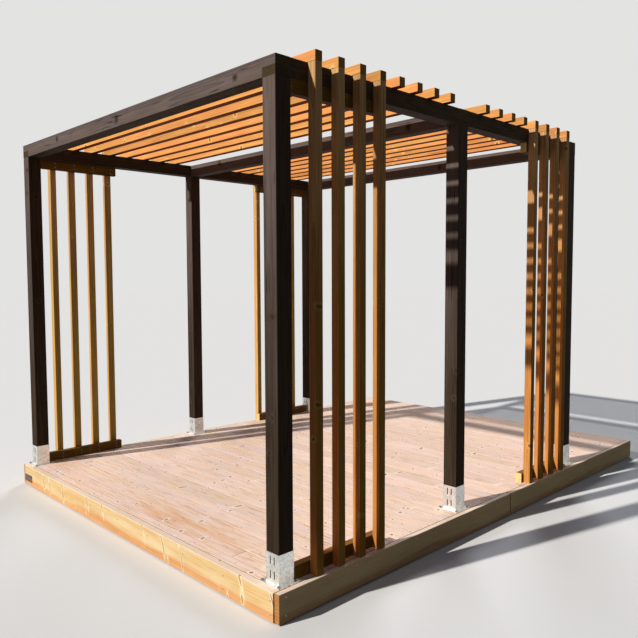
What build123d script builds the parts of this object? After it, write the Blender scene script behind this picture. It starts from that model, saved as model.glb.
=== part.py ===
from build123d import *
import os

# An open timber pergola that stands on its own low plank deck.
#
# Frame: x runs from the front edge to the back edge of the deck, y from the
# right side to the left side, z up from the ground. The origin is at ground
# level, at the middle of the deck and of the box around the whole pergola.
#
# Six square posts stand in steel shoes in two rows of three. Square beams lie
# on the posts and cross each other in half laps. Sixteen slats lie across the
# side beams. Each corner has a screen of four upright battens that end right
# under four of the slats.

# Timber sections
post = 98.0            # posts and beams, square
batten_w = 48.0        # slats and battens, seen from the side
batten_d = 53.0        # slats and battens, height of a slat, depth of a batten
rail_t = 48.0          # rails that the battens are fixed to, thickness
rail_h = 70.0          # the same rails, height
board_t = 34.0         # deck boards and side fascias, thickness
plank_t = 48.0         # front and back edge planks of the deck, thickness
joist_t = 48.0
arris = 2.5            # eased long edges of the heavy timber
arris_small = 1.5      # eased long edges of slats, battens, rails and boards

# Frame
frame_x = 3150.0       # outside of the front posts to outside of the back posts
frame_y = 3120.0       # outside of the right posts to outside of the left posts
beam_top = 2595.0      # top of the beams above the deck
slat_first = 114.0     # clear gap between a corner post and its first slat
slat_last = 125.0      # clear gap between the middle beam and the nearest slat
slats_per_bay = 8
screen_battens = 4
rail_tail = 25.0       # rails run this far past the last batten

# Deck
deck_top = 157.0       # above the ground
deck_front = 68.0      # deck in front of the front posts
deck_back = 1120.0     # deck behind the back posts
deck_right = 70.0      # deck outside the right posts
deck_left = 28.0       # deck outside the left posts
ground_gap = 6.0       # the edge planks hang clear of the ground
plank_gap = 5.0        # gap between an edge plank and the first board
fascia_gap = 4.0       # gap between the board ends and a side fascia
fascia_set_back = 7.0  # the front end of a side fascia, behind the front plank
fascia_joint_gap = 9.0  # open butt joint, half way along a side fascia
board_gap = 4.0
board_count = 25
ripped_w = 65.0        # a ripped strip makes up the first row with a narrower board
joist_count = 9
short_board_end = 456.0  # that board is in two lengths, butted here
short_board_gap = 3.0
badge_w = 135.0        # bare plate on the front plank, by the left corner
badge_h = 56.0
badge_t = 2.0
badge_in = 6.0         # from the left end of the front plank
badge_low = 30.0       # above the plank's lower edge
badge_round = 5.0

# Steel post shoes
shoe_wall = 2.0
shoe_bend = 3.0        # outer radius of the sleeve's folded corners
plate_side = 150.0
plate_t = 4.0
shoe_h = 157.0         # top of the sleeve above the deck
slot_w = 8.0
slot_l = 42.0
slot_spread = 30.0     # between the two columns of slots
slot_low = 45.0        # centre of the lower slots above the deck
slot_high = 119.0      # centre of the upper slots above the deck
screw_flats = 13.0     # hexagon head across its flats
screw_head_h = 5.5
washer_r = 9.5
washer_sides = 14      # a round washer, drawn with few flats
washer_h = 1.6
screw_inset = 12.0     # screw from the edges of the plate

os.makedirs("parts", exist_ok=True)

# Everything below is worked out from the outer corner of the right front post
# on the deck, then moved so that the box around it is centred on the origin.
x_lo = -deck_front
x_hi = frame_x + deck_back
y_lo = -deck_right
y_hi = frame_y + batten_d
shift_x = -(x_lo - badge_t + x_hi) / 2
shift_y = -(y_lo + y_hi) / 2

beam_z1 = deck_top + beam_top
beam_z0 = beam_z1 - post
lap_z = beam_z1 - post / 2
mid_x = frame_x / 2 - post / 2
back_x = frame_x - post
left_y = frame_y - post
bay = mid_x - post
slat_pitch = (bay - slat_first - slat_last - batten_w) / (slats_per_bay - 1)
fascia_joint = (x_lo + x_hi) / 2


def block(x0, x1, y0, y1, z0, z1):
    """A square-edged length of timber between two corners."""
    return Pos(x0 + shift_x, y0 + shift_y, z0) * Box(
        x1 - x0, y1 - y0, z1 - z0, align=(Align.MIN, Align.MIN, Align.MIN)
    )


def timber(x0, x1, y0, y1, z0, z1, ease=arris_small):
    """The same with its long edges eased. Its grain runs along its length."""
    solid = block(x0, x1, y0, y1, z0, z1)
    sizes = {Axis.X: x1 - x0, Axis.Y: y1 - y0, Axis.Z: z1 - z0}
    along = max(sizes, key=lambda axis: sizes[axis])
    return chamfer(solid.edges().filter_by(along), ease)


def save(solids, name):
    """One node, from one solid or from several that do not touch."""
    if isinstance(solids, list):
        solids = Compound(children=solids)
    export_step(solids, f"parts/{name}.step")


# Deck
# Heavy planks on edge close the front and the back, thinner fascia boards
# close the sides. All their tops are level with the boards between them.
fascia_y0 = y_lo + board_t
fascia_y1 = frame_y + deck_left - board_t
board_y0 = fascia_y0 + fascia_gap
board_y1 = fascia_y1 - fascia_gap
front_x1 = x_lo + plank_t
back_x0 = x_hi - plank_t
plank = (board_y0, board_y1, ground_gap, deck_top)
save(timber(x_lo, front_x1, *plank, ease=arris), "fascia_front")
save(timber(back_x0, x_hi, *plank, ease=arris), "fascia_back")

# A thin bare plate is screwed flat to the front plank, near its left end.
badge_y1 = board_y1 - badge_in
badge_z0 = ground_gap + badge_low
badge = block(x_lo - badge_t, x_lo, badge_y1 - badge_w, badge_y1,
              badge_z0, badge_z0 + badge_h)
save(fillet(badge.edges().filter_by(Axis.X), badge_round), "blank_plate")

fascia_x = {
    "front": (x_lo + fascia_set_back, fascia_joint - fascia_joint_gap / 2),
    "back": (fascia_joint + fascia_joint_gap / 2, x_hi - fascia_set_back),
}
fascia_y = {
    "right": (y_lo, fascia_y0),
    "left": (fascia_y1, frame_y + deck_left),
}
for side, (y0, y1) in fascia_y.items():
    for end, (x0, x1) in fascia_x.items():
        save(timber(x0, x1, y0, y1, ground_gap, deck_top), f"fascia_{side}_{end}")

# Joists run from the front plank to the back plank and stand on the ground.
# The two outer ones back up the side fascias.
joist_z1 = deck_top - board_t
joist_step = (fascia_y1 - fascia_y0 - joist_t) / (joist_count - 1)
joist_y = [fascia_y0 + i * joist_step for i in range(joist_count)]
save(
    [block(front_x1, back_x0, y, y + joist_t, 0, joist_z1) for y in joist_y],
    "deck_joists",
)

# A row of short blocks stiffens the joists where the side fascias are jointed.
nog_x0 = fascia_joint - joist_t / 2
save(
    [
        block(nog_x0, nog_x0 + joist_t, y0 + joist_t, y1, ground_gap, joist_z1)
        for y0, y1 in zip(joist_y[:-1], joist_y[1:])
    ],
    "deck_noggings",
)

# Broad boards lie across the joists, parallel to the front edge.
boards_x0 = front_x1 + plank_gap
boards_x1 = back_x0 - plank_gap
board_pitch = (boards_x1 - boards_x0 + board_gap) / board_count
boards = [
    timber(boards_x0, boards_x0 + ripped_w, board_y0, board_y1, joist_z1, deck_top)
]
for i in range(board_count):
    x0 = boards_x0 + i * board_pitch
    x1 = x0 + board_pitch - board_gap
    if i == 0:
        x0 += ripped_w + board_gap
        spans = [
            (board_y0, short_board_end - short_board_gap / 2),
            (short_board_end + short_board_gap / 2, board_y1),
        ]
    else:
        spans = [(board_y0, board_y1)]
    for y0, y1 in spans:
        boards.append(timber(x0, x1, y0, y1, joist_z1, deck_top))
save(boards, "deck_boards")

# Posts and their shoes
post_x = {"front": 0.0, "middle": mid_x, "back": back_x}
post_y = {"right": 0.0, "left": left_y}
plate_z1 = deck_top + plate_t
over = (plate_side - post) / 2
screws = []


def shoe(px, py):
    """A steel sleeve on a square base plate, slotted on its front and back."""
    body = block(
        px - shoe_wall, px + post + shoe_wall,
        py - shoe_wall, py + post + shoe_wall,
        plate_z1, deck_top + shoe_h,
    )
    body = fillet(body.edges().filter_by(Axis.Z), shoe_bend)
    body += block(px - over, px + post + over, py - over, py + post + over,
                  deck_top, plate_z1)
    body -= block(px, px + post, py, py + post, plate_z1, deck_top + shoe_h)
    cx = px + post / 2 + shift_x
    cy = py + post / 2 + shift_y
    cutter = Rot(0, 90, 0) * extrude(
        SlotOverall(slot_l, slot_w), post, both=True
    )
    for dy in (-slot_spread / 2, slot_spread / 2):
        for dz in (slot_low, slot_high):
            body -= Pos(cx, cy + dy, deck_top + dz) * cutter
    return body


def screw(x, y):
    """A hexagon-head wood screw with its washer, driven through a plate."""
    washer = extrude(RegularPolygon(washer_r, washer_sides), washer_h)
    head = extrude(RegularPolygon(screw_flats / 2, 6, major_radius=False), screw_head_h)
    head = Pos(0, 0, washer_h) * head
    return Pos(x + shift_x, y + shift_y, plate_z1) * (washer + head)


for side, py in post_y.items():
    for row, px in post_x.items():
        name = f"{side}_{row}"
        save(
            timber(px, px + post, py, py + post, plate_z1, beam_z0, ease=arris),
            f"post_{name}",
        )
        save(shoe(px, py), f"shoe_{name}")
        for sx in (px - over + screw_inset, px + post + over - screw_inset):
            for sy in (py - over + screw_inset, py + post + over - screw_inset):
                screws.append(screw(sx, sy))
save(screws, "shoe_screws")

# Beams
# The long side beams keep their lower half at a crossing, the three cross
# beams keep their upper half, so that all the tops are level.
for side, py in post_y.items():
    beam = timber(0, frame_x, py, py + post, beam_z0, beam_z1, ease=arris)
    for px in post_x.values():
        beam -= block(px, px + post, py, py + post, lap_z, beam_z1)
    save(beam, f"beam_{side}")
for row, px in post_x.items():
    beam = timber(px, px + post, 0, frame_y, beam_z0, beam_z1, ease=arris)
    for py in post_y.values():
        beam -= block(px, px + post, py, py + post, beam_z0, lap_z)
    save(beam, f"beam_{row}")

# Roof slats
# They lie on the side beams and run past them, out to the outer faces of the
# battens. The two bays mirror each other about the middle beam.
slat_x = {"front": [], "back": []}
for i in range(slats_per_bay):
    x = post + slat_first + i * slat_pitch
    slat_x["front"].append(x)
    slat_x["back"].append(frame_x - batten_w - x)
for end, places in slat_x.items():
    slats = [
        timber(x, x + batten_w, -batten_d, frame_y + batten_d,
               beam_z1, beam_z1 + batten_d)
        for x in places
    ]
    save(slats, f"roof_slats_{end}")

# Corner screens
# A top rail under the side beam and a bottom rail on the deck, both in line
# with the outer face of the posts. The battens stand outside the rails, from
# the deck up to the slats. The bottom rail is rebated over the base plate.
reach = slat_x["front"][screen_battens - 1] + batten_w + rail_tail
for side, py in post_y.items():
    rail_y0 = 0.0 if side == "right" else frame_y - rail_t
    rail_y1 = rail_y0 + rail_t
    out_y0 = -batten_d if side == "right" else frame_y
    for end in ("front", "back"):
        name = f"{side}_{end}"
        if end == "front":
            top_x = (post, reach)
            low_x = (post + shoe_wall, reach)
            rebate = (low_x[0], post + over)
        else:
            top_x = (frame_x - reach, frame_x - post)
            low_x = (frame_x - reach, frame_x - post - shoe_wall)
            rebate = (frame_x - post - over, low_x[1])
        save(
            timber(*top_x, rail_y0, rail_y1, beam_z0 - rail_h, beam_z0),
            f"top_rail_{name}",
        )
        low = timber(*low_x, rail_y0, rail_y1, deck_top, deck_top + rail_h)
        low -= block(*rebate, rail_y0, rail_y1, deck_top, plate_z1)
        save(low, f"bottom_rail_{name}")
        save(
            [
                timber(x, x + batten_w, out_y0, out_y0 + batten_d,
                       deck_top, beam_z1)
                for x in slat_x[end][:screen_battens]
            ],
            f"battens_{name}",
        )
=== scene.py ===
import math
import random

import bpy
from mathutils import Matrix, Vector


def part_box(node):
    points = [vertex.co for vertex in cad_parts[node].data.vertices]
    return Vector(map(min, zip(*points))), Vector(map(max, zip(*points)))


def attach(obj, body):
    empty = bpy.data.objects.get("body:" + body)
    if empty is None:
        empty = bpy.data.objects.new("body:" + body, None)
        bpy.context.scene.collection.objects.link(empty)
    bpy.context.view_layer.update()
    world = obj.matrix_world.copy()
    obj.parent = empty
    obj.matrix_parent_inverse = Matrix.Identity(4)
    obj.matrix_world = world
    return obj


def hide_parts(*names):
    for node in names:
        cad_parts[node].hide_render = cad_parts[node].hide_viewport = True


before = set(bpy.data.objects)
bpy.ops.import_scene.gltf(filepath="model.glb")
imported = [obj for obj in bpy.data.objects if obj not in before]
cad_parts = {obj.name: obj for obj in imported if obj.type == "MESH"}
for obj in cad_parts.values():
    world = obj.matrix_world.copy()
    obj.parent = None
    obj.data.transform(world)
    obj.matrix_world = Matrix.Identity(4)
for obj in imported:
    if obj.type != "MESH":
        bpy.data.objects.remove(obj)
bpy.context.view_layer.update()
random.seed(7)

# Joists and noggings. Rough-sawn spruce under the deck boards, set on the
# ground from the front plank to the back plank. The band saw leaves fine
# marks square to the grain, and the wood stays matt and a little grey.
grain_axis = {"x": (1, 0, 0), "y": (0, 1, 0), "z": (0, 0, 1)}
grain_turn = {"x": (0, 0, 0), "y": (0, 0, -math.pi / 2), "z": (0, math.pi / 2, 0)}
# the step to the next piece where there is none in that direction
lone = 100.0


def linear(code):
    """An sRGB hex colour as linear red, green, blue and alpha."""
    parts = [int(code[i:i + 2], 16) / 255 for i in (1, 3, 5)]
    return [c / 12.92 if c <= 0.04045 else ((c + 0.055) / 1.055) ** 2.4 for c in parts] + [1.0]


def add(tree, kind, inputs=None, **settings):
    """Adds a node, sets its properties, and fills or links its inputs.

    A node given as an input is linked by its first output in use.
    """
    node = tree.nodes.new(kind)
    for key, value in settings.items():
        setattr(node, key, value)
    for key, value in (inputs or {}).items():
        if isinstance(value, bpy.types.Node):
            value = next(socket for socket in value.outputs if socket.enabled)
        if isinstance(value, bpy.types.NodeSocket):
            tree.links.new(value, node.inputs[key])
        elif isinstance(value, str) and value.startswith("#"):
            node.inputs[key].default_value = linear(value)
        else:
            node.inputs[key].default_value = value
    return node


def blank_material(name):
    """A new material with nothing in its node tree yet."""
    material = bpy.data.materials.new(name)
    material.use_nodes = True
    material.node_tree.nodes.clear()
    return material, material.node_tree


def middle(node):
    """The middle of a CAD node's box."""
    low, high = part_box(node)
    return (low + high) / 2


def branches(tree, log, across, seed, spacing, thin, thick, fan):
    """How far a point is from the nearest branch, in branch radii.

    One branch grows out of the pith in every length of spacing, at a random
    place and in a random direction within the fan, and thickens on its way out.
    """
    split = add(tree, "ShaderNodeSeparateXYZ", {0: log})
    lengths = add(tree, "ShaderNodeMath", {0: split.outputs[0], 1: spacing}, operation="DIVIDE")
    length = add(tree, "ShaderNodeMath", {0: lengths}, operation="FLOOR")
    label = add(tree, "ShaderNodeMath", {0: length, 1: seed}, operation="ADD")
    luck = add(tree, "ShaderNodeTexWhiteNoise", {"W": label}, noise_dimensions="1D")
    draw = add(tree, "ShaderNodeSeparateColor", {0: luck.outputs["Color"]}).outputs
    # the branch keeps a fifth of the length clear at either end
    place = add(tree, "ShaderNodeMath", {0: draw[0], 1: 0.6, 2: 0.2}, operation="MULTIPLY_ADD")
    upto = add(tree, "ShaderNodeMath", {0: length, 1: place}, operation="ADD")
    past = add(tree, "ShaderNodeMath", {0: lengths, 1: upto}, operation="SUBTRACT")
    gone = add(tree, "ShaderNodeMath", {0: past, 1: spacing}, operation="MULTIPLY")
    angle = add(tree, "ShaderNodeMapRange", {0: draw[1], 3: fan[0], 4: fan[1]})
    cosine = add(tree, "ShaderNodeMath", {0: angle}, operation="COSINE")
    sine = add(tree, "ShaderNodeMath", {0: angle}, operation="SINE")
    minus = add(tree, "ShaderNodeMath", {0: sine, 1: -1.0}, operation="MULTIPLY")
    out = add(tree, "ShaderNodeCombineXYZ", {1: cosine, 2: sine})
    side = add(tree, "ShaderNodeCombineXYZ", {1: minus, 2: cosine})
    outward = add(tree, "ShaderNodeVectorMath", {0: across, 1: out}, operation="DOT_PRODUCT")
    sideways = add(tree, "ShaderNodeVectorMath", {0: across, 1: side}, operation="DOT_PRODUCT")
    # it bows towards the top of the tree, by 4 mm at 50 mm from the pith
    bow = add(tree, "ShaderNodeMath", {0: outward, 1: 2.0}, operation="POWER")
    bowed = add(tree, "ShaderNodeMath", {0: bow, 1: -1.6, 2: gone}, operation="MULTIPLY_ADD")
    gap = add(tree, "ShaderNodeCombineXYZ", {0: bowed, 1: sideways})
    apart = add(tree, "ShaderNodeVectorMath", {0: gap}, operation="LENGTH")
    # and it has its full thickness from 60 mm on
    grown = add(tree, "ShaderNodeMapRange", {0: outward, 1: 0.0, 2: 0.06, 3: 0.45, 4: 1.0})
    size = add(tree, "ShaderNodeMapRange", {0: draw[2], 3: thin, 4: thick})
    reach = add(tree, "ShaderNodeMath", {0: size, 1: grown}, operation="MULTIPLY")
    near = add(tree, "ShaderNodeMath", {0: apart, 1: reach}, operation="DIVIDE")
    # the far side of the pith is well away from it
    behind = add(tree, "ShaderNodeMath", {0: outward, 1: 0.0}, operation="LESS_THAN")
    return add(tree, "ShaderNodeMath", {0: behind, 1: 20.0, 2: near}, operation="MULTIPLY_ADD")


def grown_timber(name, grain, first, apart, pith, stray, sway, ring, spacing, knots, fan=(0.0, math.tau)):
    """A softwood material up to its pattern: rings, fibres and knots.

    The pieces that share it have their middles at first plus whole steps of
    apart. Each is cut from its own log, whose pith runs along the grain at
    pith from the piece's middle, give or take half of stray, and sways. Its
    year rings are ring wide. Each spacing of the log bears two branches,
    between the two knots in radius, which grow out at the angles of fan.
    """
    material, tree = blank_material(name)
    place = add(tree, "ShaderNodeTexCoord").outputs
    offset = add(tree, "ShaderNodeVectorMath", {0: place["Object"], 1: first}, operation="SUBTRACT")
    steps = add(tree, "ShaderNodeVectorMath", {0: offset, 1: apart}, operation="DIVIDE")
    nearest = add(tree, "ShaderNodeVectorMath", {0: steps, 1: (0.5, 0.5, 0.5)}, operation="ADD")
    piece = add(tree, "ShaderNodeVectorMath", {0: nearest}, operation="FLOOR")
    chance = add(tree, "ShaderNodeTexWhiteNoise", {"Vector": piece}, noise_dimensions="3D").outputs["Color"]
    back = [-step for step in apart]
    local = add(tree, "ShaderNodeVectorMath", {0: piece, 1: back, 2: offset}, operation="MULTIPLY_ADD")
    turned = add(tree, "ShaderNodeMapping", {"Vector": local, "Rotation": grain_turn[grain]})
    # the pieces come from anywhere along 7 m of log
    spread = (7.0, stray[0], stray[1])
    start = (0.0, pith[0] - stray[0] / 2, pith[1] - stray[1] / 2)
    shift = add(tree, "ShaderNodeVectorMath", {0: chance, 1: spread, 2: start}, operation="MULTIPLY_ADD")
    log = add(tree, "ShaderNodeVectorMath", {0: turned, 1: shift}, operation="ADD")
    # the log is never quite straight: its sway comes and goes over some 800 mm
    drift = add(tree, "ShaderNodeTexNoise", {"Vector": log, "Scale": 1.3, "Detail": 1.0}).outputs["Color"]
    lean = add(tree, "ShaderNodeVectorMath", {0: drift, 1: (0.5, 0.5, 0.5)}, operation="SUBTRACT")
    bent = add(tree, "ShaderNodeVectorMath", {0: lean, 1: (0.0, sway, sway), 2: log},
               operation="MULTIPLY_ADD")
    across = add(tree, "ShaderNodeVectorMath", {0: bent, 1: (0, 1, 1)}, operation="MULTIPLY")
    radius = add(tree, "ShaderNodeVectorMath", {0: across}, operation="LENGTH")
    # the two rows of branches are out of step
    one = branches(tree, log, across, 11.0, spacing, *knots, fan)
    other = branches(tree, log, across, 4321.0, spacing * 1.37, *knots, fan)
    nearness = add(tree, "ShaderNodeMath", {0: one, 1: other}, operation="MINIMUM")
    inside = add(tree, "ShaderNodeMapRange", {0: nearness, 1: 1.08, 2: 0.9, 3: 0.0, 4: 1.0},
                 interpolation_type="SMOOTHSTEP")
    halo = add(tree, "ShaderNodeMapRange", {0: nearness, 1: 3.6, 2: 0.9, 3: 0.0, 4: 1.0},
               interpolation_type="SMOOTHSTEP")
    rim = add(tree, "ShaderNodeMath", {0: nearness, 1: 0.98, 2: 0.15}, operation="COMPARE")
    # year rings swell by 14 mm round the knots, and good years are wider than poor ones
    swell = add(tree, "ShaderNodeMath", {0: halo, 1: 0.014, 2: radius}, operation="MULTIPLY_ADD")
    years = add(tree, "ShaderNodeMath", {0: swell, 1: ring}, operation="DIVIDE")
    uneven = add(tree, "ShaderNodeTexNoise", {"W": years, "Scale": 0.55, "Detail": 1.0},
                 noise_dimensions="1D")
    age = add(tree, "ShaderNodeMath", {0: uneven, 1: 2.2, 2: years}, operation="MULTIPLY_ADD")
    season = add(tree, "ShaderNodeMath", {0: age}, operation="FRACT")
    late = add(tree, "ShaderNodeMath", {0: season, 1: 2.4}, operation="POWER")
    # bundles of fibres, drawn coarser than real ones so that they show
    bundle = (0.2, 0.009, 0.009)
    thin = add(tree, "ShaderNodeVectorMath", {0: bent, 1: bundle}, operation="DIVIDE")
    fibre = add(tree, "ShaderNodeTexNoise", {"Vector": thin, "Scale": 1.0, "Detail": 4.0, "Roughness": 0.62})
    # slow changes of tone, long along the grain
    cloud_size = (0.6, 0.08, 0.08)
    broad = add(tree, "ShaderNodeVectorMath", {0: log, 1: cloud_size}, operation="DIVIDE")
    cloud = add(tree, "ShaderNodeTexNoise", {"Vector": broad, "Scale": 1.0, "Detail": 3.0, "Roughness": 0.6})
    tints = add(tree, "ShaderNodeSeparateColor", {0: cloud.outputs["Color"]})
    facing = add(tree, "ShaderNodeVectorMath", {0: place["Normal"], 1: grain_axis[grain]},
                 operation="DOT_PRODUCT")
    square = add(tree, "ShaderNodeMath", {0: facing}, operation="ABSOLUTE")
    end = add(tree, "ShaderNodeMath", {0: square, 1: 0.7}, operation="GREATER_THAN")
    return {
        "material": material, "tree": tree, "piece": piece, "log": log, "bent": bent, "radius": radius,
        "spot": add(tree, "ShaderNodeSeparateXYZ", {0: place["Object"]}).outputs,
        "normal": add(tree, "ShaderNodeSeparateXYZ", {0: place["Normal"]}).outputs,
        "draw": add(tree, "ShaderNodeSeparateColor", {0: chance}).outputs,
        "knot": inside, "halo": halo, "rim": rim, "late": late, "fibre": fibre,
        "cloud": cloud, "tint": tints.outputs[1], "end": end,
    }


def wood_colour(wood, early, late, vary, streak, patches=None, most=0.7, streaks=None):
    """Early and late wood, broken up by fibres, changes of tone, tinted patches and dark streaks."""
    tree = wood["tree"]
    # late wood counts for about half as much as fibre
    ringed = add(tree, "ShaderNodeMath", {0: wood["late"], 1: 0.55}, operation="MULTIPLY")
    grainy = add(tree, "ShaderNodeMath", {0: wood["fibre"], 1: streak, 2: ringed}, operation="MULTIPLY_ADD")
    level = add(tree, "ShaderNodeMapRange", {0: grainy, 1: streak * 0.32, 2: streak * 0.68 + 0.55})
    base = add(tree, "ShaderNodeMix", {0: level, 6: early, 7: late}, data_type="RGBA")
    if patches:
        share = add(tree, "ShaderNodeMapRange", {0: wood["tint"], 1: 0.42, 2: 0.66, 3: 0.0, 4: most})
        base = add(tree, "ShaderNodeMix", {0: share, 6: base, 7: patches}, data_type="RGBA")
    if streaks:
        dark = add(tree, "ShaderNodeMapRange", {0: wood["fibre"], 1: 0.58, 2: 0.72})
        base = add(tree, "ShaderNodeMix", {0: dark, 6: base, 7: streaks}, data_type="RGBA")
    tone = add(tree, "ShaderNodeMapRange", {0: wood["cloud"], 1: 0.3, 2: 0.7, 3: 1.0 - vary, 4: 1.0 + vary})
    return add(tree, "ShaderNodeHueSaturation", {"Value": tone, "Color": base})


def piece_tone(wood, colour, vary):
    """Makes each piece a little lighter or darker, and redder or yellower, than the next."""
    tree = wood["tree"]
    turn = vary * 0.04
    value = add(tree, "ShaderNodeMapRange", {0: wood["draw"][2], 3: 1.0 - vary, 4: 1.0 + vary})
    hue = add(tree, "ShaderNodeMapRange", {0: wood["draw"][1], 3: 0.5 - turn, 4: 0.5 + turn})
    return add(tree, "ShaderNodeHueSaturation", {"Hue": hue, "Value": value, "Color": colour})


def with_knots(wood, colour, around, heart, edge, strength):
    """Knots with a darker bark edge, in wood that changes tone as it bends round them, its paler swirl partly
    a painted highlight.
    """
    tree = wood["tree"]
    # the paler swirl round a knot is partly the wood's tone and partly a painted highlight, like the sheen of
    # resin
    swirl = add(tree, "ShaderNodeMath", {0: wood["halo"], 1: wood["fibre"]}, operation="MULTIPLY")
    bright = add(tree, "ShaderNodeMath", {0: swirl, 1: 1.9}, operation="MULTIPLY", use_clamp=True)
    near = add(tree, "ShaderNodeMix", {0: bright, 6: colour, 7: around}, data_type="RGBA")
    full = add(tree, "ShaderNodeMath", {0: wood["knot"], 1: strength}, operation="MULTIPLY")
    filled = add(tree, "ShaderNodeMix", {0: full, 6: near, 7: heart}, data_type="RGBA")
    line = add(tree, "ShaderNodeMath", {0: wood["rim"], 1: 0.8 * strength}, operation="MULTIPLY")
    return add(tree, "ShaderNodeMix", {0: line, 6: filled, 7: edge}, data_type="RGBA")


def up_from(wood, low, high):
    """0 below the one height over the ground and 1 above the other, with an edge that wanders."""
    tree = wood["tree"]
    wander = 0.8
    uneven = add(tree, "ShaderNodeMath", {0: wood["cloud"], 1: wander, 2: wood["spot"][2]},
                 operation="MULTIPLY_ADD")
    return add(tree, "ShaderNodeMapRange", {0: uneven, 1: low + wander / 2, 2: high + wander / 2})


def wood_surface(wood, colour, rough, relief, height=None, cut=None, end_dark=0.72, specular=0.5):
    """Ends a wood material: end grain darker or in its own colours, roughness, relief in metres."""
    tree = wood["tree"]
    if cut:
        ends = wood_colour(wood, *cut, vary=0.06, streak=0.9)
        colour = add(tree, "ShaderNodeMix", {0: wood["end"], 6: colour, 7: ends}, data_type="RGBA")
    dim = add(tree, "ShaderNodeMapRange", {0: wood["end"], 3: 1.0, 4: end_dark})
    toned = add(tree, "ShaderNodeHueSaturation", {"Value": dim, "Color": colour})
    gloss = add(tree, "ShaderNodeMapRange", {0: wood["fibre"], 1: 0.3, 2: 0.7, 3: rough[0], 4: rough[1]})
    if height is None:
        ridges = add(tree, "ShaderNodeMath", {0: wood["late"], 1: 0.5}, operation="MULTIPLY")
        height = add(tree, "ShaderNodeMath", {0: wood["fibre"], 1: 0.8, 2: ridges}, operation="MULTIPLY_ADD")
    bump = add(tree, "ShaderNodeBump", {"Strength": 0.8, "Distance": relief, "Height": height})
    shader = add(tree, "ShaderNodeBsdfPrincipled",
                 {"Base Color": toned, "Roughness": gloss, "Normal": bump, "Specular IOR Level": specular})
    add(tree, "ShaderNodeOutputMaterial", {"Surface": shader})
    return wood["material"]


def dress(names, material):
    """Gives CAD nodes a finish in place of their plain one."""
    for name in names:
        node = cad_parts[name]
        if not node.material_slots:
            node.data.materials.append(material)
        for slot in node.material_slots:
            slot.material = material


joist_count = 9
joist_w = 0.048
joist_low, joist_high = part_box("deck_joists")
joist_step = (joist_high.y - joist_low.y - joist_w) / (joist_count - 1)
joist_ys = [joist_low.y + joist_w / 2 + i * joist_step for i in range(joist_count)]
first_joist = Vector((0.0, joist_ys[0], (joist_low.z + joist_high.z) / 2))


def sawn_spruce(name, grain, first, apart):
    """Rough-sawn spruce: pale, matt and fuzzy, with saw marks across the grain."""
    wood = grown_timber(name, grain, first, apart, pith=(0.0, -0.05), stray=(0.06, 0.04), sway=0.02,
                        ring=0.007, spacing=0.5, knots=(0.005, 0.014))
    tree = wood["tree"]
    colour = wood_colour(wood, "#C9AE86", "#94744C", vary=0.10, streak=0.9)
    colour = with_knots(wood, piece_tone(wood, colour, 0.08), "#A88658", "#6E4A2C", "#3A2618", strength=0.8)
    # a saw mark every 4 mm or so, each about as long as the joist is high
    saw_mark = (0.004, 0.11, 0.11)
    marks = add(tree, "ShaderNodeVectorMath", {0: wood["log"], 1: saw_mark}, operation="DIVIDE")
    saw = add(tree, "ShaderNodeTexNoise", {"Vector": marks, "Scale": 1.0, "Detail": 1.0})
    rough = add(tree, "ShaderNodeMath", {0: saw, 1: 0.8, 2: wood["fibre"]}, operation="MULTIPLY_ADD")
    return wood_surface(wood, colour, rough=(0.8, 0.92), relief=0.0009, height=rough)


dress(["deck_joists"], sawn_spruce("sawn_spruce_joists", "x", first_joist, (lone, joist_step, lone)))
first_nogging = Vector((middle("deck_noggings").x, joist_ys[0] + joist_step / 2, first_joist.z))
dress(["deck_noggings"], sawn_spruce("sawn_spruce_noggings", "y", first_nogging, (lone, joist_step, lone)))

# Edge planks. Heavy planed pine on edge across the front and back of the
# deck, screwed to the joist ends. The lower part of the plank is orange
# heartwood, the upper part yellow sapwood, with a few small knots.
plank_front = middle("fascia_front")
plank_back = middle("fascia_back")


def planed_pine(name, grain, first, apart, heart, sap, hearted, vary, **growth):
    """Fresh planed pine: smooth and nearly matt, sapwood round a ragged heartwood."""
    wood = grown_timber(name, grain, first, apart, ring=0.0085, **growth)
    tree = wood["tree"]
    outer = wood_colour(wood, *sap[:2], vary=0.05, streak=0.9, patches=sap[2])
    inner = wood_colour(wood, *hearted, vary=0.09, streak=0.9)
    # the edge of the heartwood wanders by 110 mm at most and is 38 mm soft
    ragged = add(tree, "ShaderNodeMath", {0: wood["cloud"], 1: 0.11, 2: wood["radius"]},
                 operation="MULTIPLY_ADD")
    depth = add(tree, "ShaderNodeMapRange", {0: ragged, 1: heart + 0.064, 2: heart + 0.026},
                interpolation_type="SMOOTHSTEP")
    colour = add(tree, "ShaderNodeMix", {0: depth, 6: outer, 7: inner}, data_type="RGBA")
    # the top faces are drawn paler, a pink cream like the deck
    above = add(tree, "ShaderNodeMapRange", {0: wood["normal"][2], 1: 0.3, 2: 0.8, 3: 0.0, 4: 0.85})
    paler_top = add(tree, "ShaderNodeMix", {0: above, 6: colour, 7: "#F4DECD"}, data_type="RGBA")
    return wood, piece_tone(wood, paler_top, vary)


def plank_finish(name, first):
    """The edge plank's pine, with its pith low down so that the heartwood lies along the bottom."""
    wood, colour = planed_pine(name, "y", first, (lone, lone, lone), pith=(-0.008, 0.085),
                               stray=(0.0, 0.0), sway=0.05, heart=0.070,
                               sap=("#F3D295", "#D9A560", "#F6E0B4"), hearted=("#F8BD7F", "#D6925A"),
                               spacing=0.2, knots=(0.003, 0.007), fan=(1.15, 2.0), vary=0.02)
    colour = with_knots(wood, colour, "#FFEDC0", "#C08248", "#7C4F2B", strength=0.8)
    return wood_surface(wood, colour, rough=(0.55, 0.72), relief=0.0005, specular=0.3)


dress(["fascia_front"], plank_finish("planed_pine_front_plank", plank_front))
dress(["fascia_back"], plank_finish("planed_pine_back_plank", plank_back))


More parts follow.
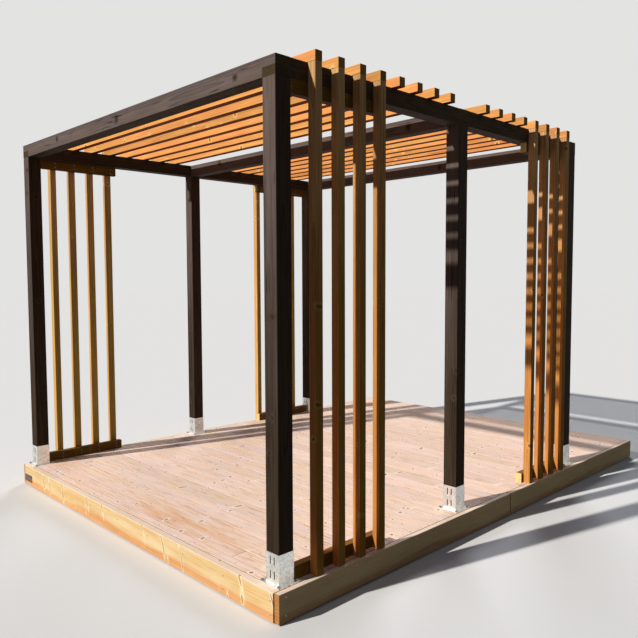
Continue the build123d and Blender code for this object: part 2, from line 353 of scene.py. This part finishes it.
def fixing_tree(name, result, sizes):
    """A node tree for a mesh with one output and these named inputs, and what it is given."""
    tree = bpy.data.node_groups.new(name, "GeometryNodeTree")
    for label, kind in sizes.items():
        tree.interface.new_socket(label, in_out="INPUT", socket_type=f"NodeSocket{kind}")
    tree.interface.new_socket(result, in_out="OUTPUT", socket_type="NodeSocketGeometry")
    return tree, add(tree, "NodeGroupInput").outputs


def coated(tree, fixings, finish):
    """Ends such a tree: its instances made real and given their finish."""
    real = add(tree, "GeometryNodeRealizeInstances", {0: fixings})
    coat = add(tree, "GeometryNodeSetMaterial", {0: real, "Material": finish})
    add(tree, "NodeGroupOutput", {0: coat})
    return tree


def screw_setter():
    """A node tree that sets a round screw head with a socket on every point of a mesh."""
    tree, given = fixing_tree("screw_setter", "Screws", {
        "Points": "Geometry", "Head Radius": "Float", "Head Height": "Float", "Turn": "Vector",
        "Seed": "Int", "Finish": "Material"})
    # the head narrows to its crown, and a socket nearly half as wide goes most of the way down
    crown_share = 0.82
    socket_share = 0.48
    socket_depth = -0.8
    crown = add(tree, "ShaderNodeMath", {0: given["Head Radius"], 1: crown_share}, operation="MULTIPLY")
    head = add(tree, "GeometryNodeMeshCone",
               {"Vertices": 12, "Radius Top": crown, "Radius Bottom": given["Head Radius"],
                "Depth": given["Head Height"]})
    lip = add(tree, "GeometryNodeExtrudeMesh",
              {"Mesh": head, "Selection": head.outputs["Top"], "Offset Scale": 0.0})
    socket = add(tree, "GeometryNodeScaleElements",
                 {"Geometry": lip, "Selection": lip.outputs["Top"], "Scale": socket_share})
    depth = add(tree, "ShaderNodeMath", {0: given["Head Height"], 1: socket_depth}, operation="MULTIPLY")
    sunk = add(tree, "GeometryNodeExtrudeMesh",
               {"Mesh": socket, "Selection": lip.outputs["Top"], "Offset Scale": depth})
    spots = add(tree, "GeometryNodeMeshToPoints", {"Mesh": given["Points"]})
    screws = add(tree, "GeometryNodeInstanceOnPoints",
                 {"Points": spots, "Instance": sunk, "Rotation": given["Turn"]})
    spin = add(tree, "FunctionNodeRandomValue", {2: 0.0, 3: math.tau, "Seed": given["Seed"]})
    axis = add(tree, "ShaderNodeCombineXYZ", {"Z": spin})
    spun = add(tree, "GeometryNodeRotateInstances",
               {"Instances": screws, "Rotation": axis, "Local Space": True})
    return coated(tree, spun, given["Finish"])


def grown_mesh(name, vertices, edges, tree, values):
    """A piece made by a node tree from points or lines, as a plain mesh object."""
    seedling = bpy.data.meshes.new(name + "_seed")
    seedling.from_pydata(vertices, edges, [])
    carrier = bpy.data.objects.new(name + "_seed", seedling)
    bpy.context.scene.collection.objects.link(carrier)
    maker = carrier.modifiers.new("maker", "NODES")
    maker.node_group = tree
    for item in tree.interface.items_tree:
        if item.item_type == "SOCKET" and item.in_out == "INPUT" and item.name in values:
            maker[item.identifier] = values[item.name]
    graph = bpy.context.evaluated_depsgraph_get()
    mesh = bpy.data.meshes.new_from_object(carrier.evaluated_get(graph))
    mesh.name = name
    bpy.data.objects.remove(carrier)
    bpy.data.meshes.remove(seedling)
    piece = bpy.data.objects.new(name, mesh)
    bpy.context.scene.collection.objects.link(piece)
    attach(piece, "root")
    return piece


def zinc_plate():
    """Electroplated zinc on steel: grey, softly shiny, duller and browner in patches of some 6 mm."""
    material, tree = blank_material("zinc_plated_steel")
    place = add(tree, "ShaderNodeTexCoord").outputs["Object"]
    patch = add(tree, "ShaderNodeTexNoise", {"Vector": place, "Scale": 160.0, "Detail": 3.0})
    colour = add(tree, "ShaderNodeMix", {0: patch, 6: "#A9A79F", 7: "#77736A"}, data_type="RGBA")
    gloss = add(tree, "ShaderNodeMapRange", {0: patch, 3: 0.28, 4: 0.55})
    shader = add(tree, "ShaderNodeBsdfPrincipled",
                 {"Base Color": colour, "Roughness": gloss, "Metallic": 1.0})
    add(tree, "ShaderNodeOutputMaterial", {"Surface": shader})
    return material


screw_tree = screw_setter()
zinc = zinc_plate()
face_turn = {
    "up": (0, 0, 0), "front": (0, -math.pi / 2, 0), "back": (0, math.pi / 2, 0),
    "right": (math.pi / 2, 0, 0), "left": (-math.pi / 2, 0, 0),
}


def driven(name, points, facing, seed, head_r=0.0045, head_h=0.0007):
    """Screw heads at these points, on faces that look the given way."""
    screws = grown_mesh(name, points, [], screw_tree,
                        {"Head Radius": head_r, "Head Height": head_h, "Turn": face_turn[facing],
                         "Seed": seed, "Finish": zinc})


plank_screw_zs = (0.040, 0.112)
plank_low, plank_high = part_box("fascia_front")
back_face_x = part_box("fascia_back")[1].x
ends_in = [y for y in joist_ys if plank_low.y < y < plank_high.y]
driven("front_plank_screws", [(plank_low.x, y, z) for y in ends_in for z in plank_screw_zs], "front", seed=1)
driven("back_plank_screws", [(back_face_x, y, z) for y in ends_in for z in plank_screw_zs], "back", seed=2)

# Side fascias. The same pine, in two lengths a side with an open butt joint
# half way, screwed flat to the outer joists. It is a browner cut than the
# edge planks, with wide rings along its face.
fascia_first = middle("fascia_right_front")
fascia_apart = middle("fascia_left_back") - fascia_first
fascia_wood, fascia_tint = planed_pine(
    "planed_pine_side_fascia", "x", fascia_first, (fascia_apart.x, fascia_apart.y, lone),
    pith=(0.03, 0.06), stray=(0.03, 0.05), sway=0.05, heart=0.045, sap=("#F6D7A0", "#C29E66", "#E9CC97"),
    hearted=("#E6B67E", "#B0804E"), spacing=0.62, knots=(0.003, 0.010), vary=0.05)
fascia_tint = with_knots(fascia_wood, fascia_tint, "#E8C994", "#8E663C", "#4A3320", strength=0.9)
fascia_names = [f"fascia_{side}_{end}" for side in ("right", "left") for end in ("front", "back")]
dress(fascia_names, wood_surface(fascia_wood, fascia_tint, rough=(0.6, 0.75), relief=0.0006,
                                 cut=("#D79A60", "#A86E3C"), end_dark=0.9, specular=0.3))

fascia_screw_in = 0.045
fascia_screw_step = 0.52
fascia_screw_zs = (0.040, 0.133)
for side, seed in (("right", 3), ("left", 4)):
    points = []
    for end in ("front", "back"):
        low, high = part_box(f"fascia_{side}_{end}")
        run = high.x - low.x - 2 * fascia_screw_in
        gaps = round(run / fascia_screw_step)
        for i in range(gaps + 1):
            x = low.x + fascia_screw_in + run * i / gaps
            points += [(x, low.y if side == "right" else high.y, z) for z in fascia_screw_zs]
    driven(f"fascia_{side}_screws", points, side, seed)

# Deck boards. Broad bare softwood boards, screwed down on every joist. Sun
# has dried and bleached their tops to a pale pink cream, matt and slightly
# furry, and the boards by the front have streaks of brown heartwood. Their
# sides and undersides are darkened as painted shade.
board_count = 25
board_gap = 0.004
deck_low, deck_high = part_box("deck_boards")
board_pitch = (deck_high.x - deck_low.x + board_gap) / board_count
board_w = board_pitch - board_gap
board_first = Vector((deck_low.x + board_w / 2, 0.0, (deck_low.z + deck_high.z) / 2))
# the first row is a strip ripped to 67 mm, and a board with a butt joint near the right side
ripped_edge = deck_low.x + 0.067
short_board_end = -1.0955


def bleached_decking():
    """Dry bleached boards: pink cream sapwood, tan streaks along the grain, small dark knots."""
    wood = grown_timber("bleached_deck_boards", "y", board_first, (board_pitch, lone, lone),
                        pith=(0.0, 0.008), stray=(0.12, 0.026), sway=0.03, ring=0.0075,
                        spacing=0.2, knots=(0.004, 0.012))
    tree = wood["tree"]
    pale = wood_colour(wood, "#FFE9D6", "#EEC2A3", vary=0.07, streak=1.2, patches="#FAE3E0", most=0.85,
                       streaks="#C08C66")
    brown = wood_colour(wood, "#EFC097", "#C98B58", vary=0.08, streak=1.1, streaks="#A8703F")
    row = add(tree, "ShaderNodeSeparateXYZ", {0: wood["piece"]}).outputs[0]
    # the two boards behind the ripped strip are browner, most of all near the joint
    front_row = add(tree, "ShaderNodeMath", {0: row, 1: 1.5}, operation="LESS_THAN")
    past_strip = add(tree, "ShaderNodeMath", {0: wood["spot"][0], 1: ripped_edge}, operation="GREATER_THAN")
    long_part = add(tree, "ShaderNodeMath", {0: wood["spot"][1], 1: short_board_end},
                    operation="GREATER_THAN")
    tan = add(tree, "ShaderNodeMapRange", {0: wood["spot"][1], 1: -0.35, 2: 0.15, 3: 1.0, 4: 0.4})
    for only in (front_row, past_strip, long_part):
        tan = add(tree, "ShaderNodeMath", {0: tan, 1: only}, operation="MULTIPLY")
    odd = add(tree, "ShaderNodeMapRange", {0: wood["draw"][0], 1: 0.2, 2: 1.0, 3: 0.05, 4: 0.35})
    share = add(tree, "ShaderNodeMath", {0: tan, 1: odd}, operation="MAXIMUM")
    streaks = add(tree, "ShaderNodeMapRange", {0: wood["cloud"], 1: 0.40, 2: 0.62, 3: 0.05, 4: 1.0})
    heart = add(tree, "ShaderNodeMath", {0: share, 1: streaks}, operation="MULTIPLY")
    mixed = add(tree, "ShaderNodeMix", {0: heart, 6: pale, 7: brown}, data_type="RGBA")
    colour = piece_tone(wood, mixed, 0.05)
    colour = with_knots(wood, colour, "#FFF0E0", "#8A5C3E", "#4A3122", strength=0.85)
    # painted shade: the sides and undersides, down in the gaps and underneath, are darkened
    shaded = add(tree, "ShaderNodeMath", {0: wood["normal"][2], 1: 0.5}, operation="LESS_THAN")
    gap_shaded = add(tree, "ShaderNodeMix", {0: shaded, 6: colour, 7: "#A89C92"}, data_type="RGBA",
                blend_type="MULTIPLY")
    return wood_surface(wood, gap_shaded, rough=(0.7, 0.85), relief=0.0006, end_dark=0.85, specular=0.35)


dress(["deck_boards"], bleached_decking())

shoe_names = [f"{side}_{row}" for side in ("right", "left") for row in ("front", "middle", "back")]
screen_names = [f"{side}_{end}" for side in ("right", "left") for end in ("front", "back")]
covers = [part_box("shoe_" + name) for name in shoe_names]
covers += [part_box("bottom_rail_" + name) for name in screen_names]
covers += [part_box("battens_" + name) for name in screen_names]
head_clear = 0.006


def covered(x, y):
    """True where a shoe or a screen stands over this place on the deck."""
    return any(low.x - head_clear < x < high.x + head_clear
               and low.y - head_clear < y < high.y + head_clear for low, high in covers)


pair_apart = 0.105
stray_hand = 0.002
deck_points = []
for i in range(board_count):
    for y in joist_ys:
        for side in (-1, 1):
            x = board_first.x + i * board_pitch + side * pair_apart / 2 + random.uniform(-1, 1) * stray_hand
            spot_y = y + random.uniform(-1, 1) * stray_hand
            if not covered(x, spot_y):
                deck_points.append((x, spot_y, deck_high.z))
driven("deck_screws", deck_points, "up", seed=5, head_r=0.0042, head_h=0.0006)

# Bare plate. A thin dark sheet-metal plate near the front plank's left end,
# held by two small screws. It is painted dark brown and slightly worn.
plate_low, plate_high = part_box("blank_plate")


def dark_paint():
    """Dark brown paint on sheet metal: satin, greyer where it is rubbed, in patches of some 18 mm."""
    material, tree = blank_material("dark_painted_sheet")
    place = add(tree, "ShaderNodeTexCoord").outputs["Object"]
    rub = add(tree, "ShaderNodeTexNoise", {"Vector": place, "Scale": 55.0, "Detail": 5.0})
    worn = add(tree, "ShaderNodeMapRange", {0: rub, 1: 0.45, 2: 0.72})
    colour = add(tree, "ShaderNodeMix", {0: worn, 6: "#4A3A33", 7: "#8A7468"}, data_type="RGBA")
    gloss = add(tree, "ShaderNodeMapRange", {0: rub, 1: 0.3, 2: 0.7, 3: 0.38, 4: 0.6})
    bump = add(tree, "ShaderNodeBump", {"Strength": 0.4, "Distance": 0.0002, "Height": rub})
    shader = add(tree, "ShaderNodeBsdfPrincipled", {"Base Color": colour, "Roughness": gloss, "Normal": bump})
    add(tree, "ShaderNodeOutputMaterial", {"Surface": shader})
    return material


dress(["blank_plate"], dark_paint())
plate_screw_in = 0.010
plate_mid_z = (plate_low.z + plate_high.z) / 2
plate_screw_ys = (plate_low.y + plate_screw_in, plate_high.y - plate_screw_in)
driven("plate_screws", [(plate_low.x, y, plate_mid_z) for y in plate_screw_ys], "front", seed=6,
       head_r=0.0035, head_h=0.0009)

# Post shoes. A square steel sleeve welded on a square base plate, slotted
# for coach screws and hot-dip galvanised, which leaves a bright skin of
# broad crystals, a few runs, and a duller grey bloom.
sleeve_side = 0.102
base_t = 0.004


def galvanised():
    """Hot-dip galvanised steel: pale grey, spangled in crystals some 12 mm across."""
    material, tree = blank_material("hot_dip_galvanised")
    place = add(tree, "ShaderNodeTexCoord").outputs["Object"]
    crystal = add(tree, "ShaderNodeTexVoronoi", {"Vector": place, "Scale": 80.0})
    leaf = add(tree, "ShaderNodeSeparateColor", {0: crystal.outputs["Color"]}).outputs
    bright = add(tree, "ShaderNodeMix", {0: leaf[0], 6: "#F2F2EF", 7: "#D2D4D2"}, data_type="RGBA")
    # the dull bloom lies in patches of some 45 mm
    bloom = add(tree, "ShaderNodeTexNoise", {"Vector": place, "Scale": 22.0, "Detail": 4.0})
    dull = add(tree, "ShaderNodeMapRange", {0: bloom, 1: 0.5, 2: 0.75, 3: 0.0, 4: 0.5})
    colour = add(tree, "ShaderNodeMix", {0: dull, 6: bright, 7: "#D2D2CC"}, data_type="RGBA")
    gloss = add(tree, "ShaderNodeMapRange", {0: leaf[1], 3: 0.34, 4: 0.5})
    # runs of zinc, longer down the sleeve than across it
    run_size = (0.017, 0.017, 0.085)
    runs = add(tree, "ShaderNodeVectorMath", {0: place, 1: run_size}, operation="DIVIDE")
    drip = add(tree, "ShaderNodeTexNoise", {"Vector": runs, "Scale": 1.0, "Detail": 3.0})
    bump = add(tree, "ShaderNodeBump", {"Strength": 0.35, "Distance": 0.0005, "Height": drip})
    shader = add(tree, "ShaderNodeBsdfPrincipled",
                 {"Base Color": colour, "Roughness": gloss, "Normal": bump, "Metallic": 1.0})
    add(tree, "ShaderNodeOutputMaterial", {"Surface": shader})
    return material


steel = galvanised()
dress(["shoe_" + name for name in shoe_names], steel)


def weld_runner():
    """A node tree that lays a rippled weld bead along every line of a mesh."""
    tree, given = fixing_tree("weld_runner", "Beads", {
        "Lines": "Geometry", "Bead Radius": "Float", "Ripple Length": "Float", "Finish": "Material"})
    curve = add(tree, "GeometryNodeMeshToCurve", {"Mesh": given["Lines"]})
    step = add(tree, "ShaderNodeMath", {0: given["Ripple Length"], 1: 0.5}, operation="MULTIPLY")
    even = add(tree, "GeometryNodeResampleCurve", {"Curve": curve, "Length": step}, mode="LENGTH")
    spline = add(tree, "GeometryNodeSplineParameter")
    # the bead swells and narrows by a quarter, every 4 mm or so
    wave = add(tree, "ShaderNodeTexNoise", {"W": spline.outputs["Length"], "Scale": 260.0, "Detail": 1.0},
               noise_dimensions="1D")
    swell = add(tree, "ShaderNodeMapRange", {0: wave, 3: 0.75, 4: 1.25})
    profile = add(tree, "GeometryNodeCurvePrimitiveCircle", {"Resolution": 8, "Radius": given["Bead Radius"]})
    bead = add(tree, "GeometryNodeCurveToMesh",
               {"Curve": even, "Profile Curve": profile, "Scale": swell, "Fill Caps": True})
    return coated(tree, bead, given["Finish"])


# each bead stops short of the sleeve's corners
bead_stop = 0.006
corners = []
lines = []
for name in shoe_names:
    shoe = middle("shoe_" + name)
    half = sleeve_side / 2
    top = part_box("shoe_" + name)[0].z + base_t
    run = half - bead_stop
    for ax, ay, bx, by in ((-half, -run, -half, run), (half, -run, half, run),
                           (-run, -half, run, -half), (-run, half, run, half)):
        lines.append((len(corners), len(corners) + 1))
        corners += [(shoe.x + ax, shoe.y + ay, top), (shoe.x + bx, shoe.y + by, top)]
welds = grown_mesh("shoe_welds", corners, lines, weld_runner(),
                   {"Bead Radius": 0.0024, "Ripple Length": 0.003, "Finish": steel})


def hexagon_setter():
    """A node tree that sets a hexagon head on a washer on every point of a mesh."""
    tree, given = fixing_tree("hexagon_setter", "Screws", {
        "Points": "Geometry", "Corner Radius": "Float", "Head Height": "Float",
        "Washer Radius": "Float", "Washer Height": "Float", "Seed": "Int", "Finish": "Material"})
    # the washer's rim is eased, and the top fifth of the head narrows to its crown
    rim = add(tree, "ShaderNodeMath", {0: given["Washer Radius"], 1: 0.94}, operation="MULTIPLY")
    straight = add(tree, "ShaderNodeMath", {0: given["Head Height"], 1: 0.8}, operation="MULTIPLY")
    slope = add(tree, "ShaderNodeMath", {0: given["Head Height"], 1: 0.2}, operation="MULTIPLY")
    narrow = add(tree, "ShaderNodeMath", {0: given["Corner Radius"], 1: 0.82}, operation="MULTIPLY")
    crown_z = add(tree, "ShaderNodeMath", {0: given["Washer Height"], 1: straight}, operation="ADD")
    whole = add(tree, "GeometryNodeJoinGeometry")
    for sides, foot, top, depth, lift in (
            (20, given["Washer Radius"], rim, given["Washer Height"], 0.0),
            (6, given["Corner Radius"], given["Corner Radius"], straight, given["Washer Height"]),
            (6, given["Corner Radius"], narrow, slope, crown_z)):
        solid = add(tree, "GeometryNodeMeshCone",
                    {"Vertices": sides, "Radius Top": top, "Radius Bottom": foot, "Depth": depth})
        raised = add(tree, "ShaderNodeCombineXYZ", {"Z": lift})
        set_up = add(tree, "GeometryNodeTransform", {"Geometry": solid, "Translation": raised})
        tree.links.new(set_up.outputs[0], whole.inputs[0])
    spots = add(tree, "GeometryNodeMeshToPoints", {"Mesh": given["Points"]})
    spin = add(tree, "FunctionNodeRandomValue", {2: 0.0, 3: math.tau, "Seed": given["Seed"]})
    axis = add(tree, "ShaderNodeCombineXYZ", {"Z": spin})
    screws = add(tree, "GeometryNodeInstanceOnPoints", {"Points": spots, "Instance": whole, "Rotation": axis})
    return coated(tree, screws, given["Finish"])


hex_flats = 0.013
hex_inset = 0.012
hex_points = []
for name in shoe_names:
    low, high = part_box("shoe_" + name)
    for x in (low.x + hex_inset, high.x - hex_inset):
        for y in (low.y + hex_inset, high.y - hex_inset):
            hex_points.append((x, y, low.z + base_t))
hex_screws = grown_mesh("shoe_hexagon_screws", hex_points, [], hexagon_setter(),
                        {"Corner Radius": hex_flats / math.sqrt(3), "Head Height": 0.0055,
                         "Washer Radius": 0.0095, "Washer Height": 0.0016, "Seed": 8, "Finish": zinc})
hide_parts("shoe_screws")

# Posts. Planed spruce, 98 mm square, stood in the shoes and brushed with a
# black-brown wood stain, dried to a dull satin. It lets the grain through as
# streaks, sinks darker into knots, and turns paler and greyer towards the top,
# except on the right-hand faces and undersides, which stay dark as painted shade.
post_first = middle("post_right_front")
post_apart = Vector((middle("post_right_middle").x - post_first.x,
                     middle("post_left_front").y - post_first.y, lone))
# the heights over the ground between which the stain turns paler
fade_low = 0.8
fade_high = 2.6
# how far a face's normal points down or to the right where its painted shade starts, and where it is full
painted_shade_from = -0.3
painted_shade_full = -0.7


def black_stain(name, grain, first, apart):
    """Thin black-brown stain on planed spruce: nearly black low down and grey-brown above, with painted shade
    on the right-hand faces and undersides.
    """
    wood = grown_timber(name, grain, first, apart, pith=(0.01, -0.02), stray=(0.05, 0.05), sway=0.025,
                        ring=0.009, spacing=0.42, knots=(0.005, 0.015))
    tree = wood["tree"]
    dark = wood_colour(wood, "#44372B", "#271E17", vary=0.16, streak=0.9)
    paler_top = wood_colour(wood, "#716360", "#4A4140", vary=0.12, streak=0.9, patches="#6A5B4E")
    # painted shade: the undersides and the right-hand faces stay at the dark colour all the way up
    away = add(tree, "ShaderNodeMath", {0: wood["normal"][1], 1: wood["normal"][2]}, operation="MINIMUM")
    outside_painted_shade = add(tree, "ShaderNodeMapRange", {0: away, 1: painted_shade_full, 2: painted_shade_from})
    share = add(tree, "ShaderNodeMath", {0: up_from(wood, fade_low, fade_high), 1: outside_painted_shade},
                operation="MULTIPLY")
    colour = add(tree, "ShaderNodeMix", {0: share, 6: dark, 7: paler_top}, data_type="RGBA")
    colour = with_knots(wood, piece_tone(wood, colour, 0.05), "#463A32", "#2A211F", "#1A1513", strength=0.6)
    # drying checks: short dark cracks along the grain, drawn a little wide so that they show
    crack_size = (0.22, 0.009, 0.009)
    strands = add(tree, "ShaderNodeVectorMath", {0: wood["bent"], 1: crack_size}, operation="DIVIDE")
    field = add(tree, "ShaderNodeTexNoise", {"Vector": strands, "Scale": 1.0, "Detail": 0.0})
    crack = add(tree, "ShaderNodeMapRange", {0: field, 1: 0.74, 2: 0.82})
    cracked = add(tree, "ShaderNodeMix", {0: crack, 6: colour, 7: "#1B1512"}, data_type="RGBA")
    sunk = add(tree, "ShaderNodeMath", {0: crack, 1: -1.5, 2: wood["fibre"]}, operation="MULTIPLY_ADD")
    ridged = add(tree, "ShaderNodeMath", {0: wood["late"], 1: 0.4, 2: sunk}, operation="MULTIPLY_ADD")
    return wood_surface(wood, cracked, rough=(0.62, 0.78), relief=0.0007, height=ridged,
                        cut=("#50422A", "#372C1B"), end_dark=0.95, specular=0.05)


dress(["post_" + name for name in shoe_names], black_stain("stained_posts", "z", post_first, post_apart))

# Beams. The same stained 98 mm timber. Two side beams lie along the posts
# and three cross beams lie over them, halved into each other so that all
# the tops are level, with two long screws down through each joint.
side_first = middle("beam_right")
side_apart = (lone, middle("beam_left").y - side_first.y, lone)
dress(["beam_right", "beam_left"], black_stain("stained_side_beams", "x", side_first, side_apart))
cross_first = middle("beam_front")
cross_apart = (middle("beam_middle").x - cross_first.x, lone, lone)
dress(["beam_front", "beam_middle", "beam_back"],
      black_stain("stained_cross_beams", "y", cross_first, cross_apart))
beam_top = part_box("beam_front")[1].z
lap_screw_off = 0.026
lap_points = []
for name in shoe_names:
    over = middle("post_" + name)
    for off in (-lap_screw_off, lap_screw_off):
        lap_points.append((over.x + off, over.y + off, beam_top))
driven("lap_joint_screws", lap_points, "up", seed=9, head_r=0.0065, head_h=0.0012)

# Rails. Brown-oiled spruce, one under the side beam and one on the deck at
# each corner, in line with the posts. The battens are screwed to them from
# the inside, two screws at each crossing.
batten_w = 0.048
screen_battens = 4
bay_slats = 8
# the heights over the ground between which the oil turns paler and greyer
paler_low = 1.4
paler_high = 2.8


def brown_oil(name, grain, first, apart, early, late, patches, around, pith, stray, vary, spacing,
              cut=None, bleached=None):
    """Warm brown oil on planed spruce: orange where light, red-brown late wood, dark knots, and painted shade
    on the right-hand faces and undersides.
    """
    wood = grown_timber(name, grain, first, apart, pith=pith, stray=stray, sway=0.022,
                        ring=0.008, spacing=spacing, knots=(0.005, 0.012))
    tree = wood["tree"]
    colour = wood_colour(wood, early, late, vary=0.13, streak=1.0, patches=patches)
    # painted shade: the right-hand faces darker with a faint green cast, the undersides much darker
    right = add(tree, "ShaderNodeMapRange", {0: wood["normal"][1], 1: painted_shade_from, 2: painted_shade_full})
    under = add(tree, "ShaderNodeMapRange", {0: wood["normal"][2], 1: painted_shade_from, 2: painted_shade_full})
    if bleached:
        # the oil is drawn paler and greyer higher up
        pale = wood_colour(wood, *bleached, vary=0.10, streak=1.0)
        paler_share = up_from(wood, paler_low, paler_high)
        colour = add(tree, "ShaderNodeMix", {0: paler_share, 6: colour, 7: pale}, data_type="RGBA")
        # higher up, where the oil is paler, the painted shade on the right-hand faces gives way
        right = add(tree, "ShaderNodeMapRange", {0: paler_share, 3: right, 4: 0.0})
    colour = with_knots(wood, piece_tone(wood, colour, vary), around, "#7A4420", "#4A2A16", strength=0.8)
    for share, shade_tint in ((right, "#C6D4AC"), (under, "#844A22")):
        colour = add(tree, "ShaderNodeMix", {0: share, 6: colour, 7: shade_tint}, data_type="RGBA",
                     blend_type="MULTIPLY")
    return wood_surface(wood, colour, rough=(0.55, 0.7), relief=0.0006, cut=cut, end_dark=1.0 if cut else 0.6,
                        specular=0.06)


rail_first = middle("bottom_rail_right_front")
rail_apart = middle("top_rail_left_back") - rail_first
rail_names = [f"{level}_rail_{name}" for level in ("top", "bottom") for name in screen_names]
dress(rail_names, brown_oil("oiled_rails", "x", rail_first, rail_apart, "#A07036", "#624220",
                            "#80522A", "#AA7E48", pith=(0.03, 0.03), stray=(0.03, 0.03), vary=0.08,
                            spacing=0.3, cut=("#F4DC9C", "#DDB56C")))


def batten_middles(name):
    """Where the battens of a screen or the slats of a bay stand, along the pergola, and their pitch."""
    low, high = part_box(name)
    count = screen_battens if name.startswith("battens") else bay_slats
    pitch = (high.x - low.x - batten_w) / (count - 1)
    return [low.x + batten_w / 2 + i * pitch for i in range(count)], pitch


rail_screw_dz = 0.016
for side, facing, seed in (("right", "left", 10), ("left", "right", 11)):
    points = []
    for end in ("front", "back"):
        for level in ("top", "bottom"):
            low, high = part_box(f"{level}_rail_{side}_{end}")
            inner = high.y if side == "right" else low.y
            for x in batten_middles(f"battens_{side}_{end}")[0]:
                for dz in (-rail_screw_dz, rail_screw_dz):
                    points.append((x, inner, (low.z + high.z) / 2 + dz))
    driven(f"rail_{side}_screws", points, facing, seed)

# Battens. Four upright brown-oiled lengths outside the rails at each corner,
# from the deck up to the slats, set on edge with even gaps.
batten_oils = {"right": ("#E4A058", "#94602C", "#C2783C", "#DCA864"),
               "left": ("#F0C07C", "#A87840", "#DCA25A", "#ECC48A")}
for turn, name in enumerate(screen_names):
    xs, pitch = batten_middles("battens_" + name)
    upright = middle("battens_" + name)
    # counted on from the screen before, so that no two screens have the same battens
    first = (xs[0] - screen_battens * turn * pitch, upright.y, upright.z)
    oils = batten_oils[name.split("_")[0]]
    dress(["battens_" + name],
          brown_oil("oiled_battens_" + name, "z", first, (pitch, lone, lone), *oils, pith=(0.03, 0.02),
                    stray=(0.05, 0.05), vary=0.08, spacing=0.42, bleached=("#E2B27C", "#977850")))

# Roof slats. Sixteen brown-oiled lengths on edge across the side beams, in
# two bays, run out flush with the battens and screwed down from the top.
slat_points = []
for turn, end in enumerate(("front", "back")):
    xs, pitch = batten_middles(f"roof_slats_{end}")
    slats = middle(f"roof_slats_{end}")
    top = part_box(f"roof_slats_{end}")[1].z
    first = (xs[0] - bay_slats * turn * pitch, slats.y, slats.z)
    dress([f"roof_slats_{end}"],
          brown_oil(f"oiled_slats_{end}", "y", first, (pitch, lone, lone), "#F3B56C", "#BC7638",
                    "#E49358", "#F6C680", pith=(0.02, 0.03), stray=(0.06, 0.05), vary=0.16, spacing=0.17))
    for x in xs:
        for beam in ("beam_right", "beam_left"):
            slat_points.append((x, middle(beam).y, top))
driven("slat_screws", slat_points, "up", seed=12, head_h=0.0005)

# Studio. A plain pale floor and surround, a key light from the front left
# whose shadows have slightly soft edges, and a weaker, broader light from
# behind on the left.
floor_half = 60.0


def looked_at(tree):
    """1 for rays that show the studio itself, straight or mirrored, and 0 for its light."""
    ray = add(tree, "ShaderNodeLightPath").outputs
    seen = add(tree, "ShaderNodeMath", {0: ray["Is Camera Ray"], 1: ray["Is Glossy Ray"]},
               operation="MAXIMUM")
    return add(tree, "ShaderNodeMath", {0: seen, 1: ray["Is Transmission Ray"]}, operation="MAXIMUM")


floor_mesh = bpy.data.meshes.new("studio_floor")
floor_mesh.from_pydata([(-floor_half, -floor_half, 0), (floor_half, -floor_half, 0),
                        (floor_half, floor_half, 0), (-floor_half, floor_half, 0)], [], [(0, 1, 2, 3)])
floor = bpy.data.objects.new("studio_floor", floor_mesh)
bpy.context.scene.collection.objects.link(floor)
floor_paint, tree = blank_material("floor_paint")
dim_paint = add(tree, "ShaderNodeBsdfDiffuse", {"Color": "#585754"})
pale_paint = add(tree, "ShaderNodeBsdfDiffuse", {"Color": "#EAEBEB"})
shown = add(tree, "ShaderNodeMixShader", {0: looked_at(tree), 1: dim_paint, 2: pale_paint})
add(tree, "ShaderNodeOutputMaterial", {"Surface": shown})
floor_mesh.materials.append(floor_paint)

world = bpy.data.worlds.new("studio")
bpy.context.scene.world = world
world.use_nodes = True
tree = world.node_tree
tree.nodes.clear()
surround = add(tree, "ShaderNodeBackground", {"Color": "#E3E3E2", "Strength": 1.0})
fill = add(tree, "ShaderNodeBackground", {"Color": "#DCE8FF", "Strength": 0.10})
shown = add(tree, "ShaderNodeMixShader", {0: looked_at(tree), 1: fill, 2: surround})
add(tree, "ShaderNodeOutputWorld", {"Surface": shown})


def lamp(name, azimuth, elevation, strength, colour, softness, glints=True):
    """A far light from this azimuth, from +X towards +Y, and elevation, mirrored in the steel or not."""
    a = math.radians(azimuth)
    e = math.radians(elevation)
    travel = Vector((-math.cos(a) * math.cos(e), -math.sin(a) * math.cos(e), -math.sin(e)))
    data = bpy.data.lights.new(name, "SUN")
    data.energy = strength
    data.color = linear(colour)[:3]
    data.angle = math.radians(softness)
    light = bpy.data.objects.new(name, data)
    light.visible_glossy = glints
    light.rotation_euler = travel.to_track_quat("-Z", "Y").to_euler()
    bpy.context.scene.collection.objects.link(light)


lamp("key", azimuth=165.3, elevation=33.4, strength=3.85, colour="#FFFAF3", softness=1.3)
lamp("back", azimuth=35.0, elevation=30.0, strength=1.3, colour="#F6F8FF", softness=20.0, glints=False)

# Camera. At head height off the right front corner, turned towards the deck
# and a few degrees down. Its place and lens were solved from the frame.
camera_at = Vector((-4.2103, -4.0112, 1.6943))
yaw = math.radians(45.781)
pitch_angle = math.radians(-3.630)
roll = math.radians(-0.205)
focal_px = 669.3
image_px = 638
forward = Vector((math.cos(pitch_angle) * math.cos(yaw), math.cos(pitch_angle) * math.sin(yaw),
                  math.sin(pitch_angle)))
level_right = Vector((math.sin(yaw), -math.cos(yaw), 0.0))
level_up = level_right.cross(forward)
right = level_right * math.cos(roll) + level_up * math.sin(roll)
up = level_up * math.cos(roll) - level_right * math.sin(roll)
data = bpy.data.cameras.new("camera")
data.sensor_width = 36.0
data.lens = focal_px / image_px * data.sensor_width
camera = bpy.data.objects.new("camera", data)
camera.matrix_world = Matrix.Translation(camera_at) @ Matrix(
    [[right[i], up[i], -forward[i]] for i in range(3)]).to_4x4()
bpy.context.scene.collection.objects.link(camera)
bpy.context.scene.camera = camera
bpy.context.scene.view_settings.view_transform = "Standard"

bpy.context.view_layer.update()
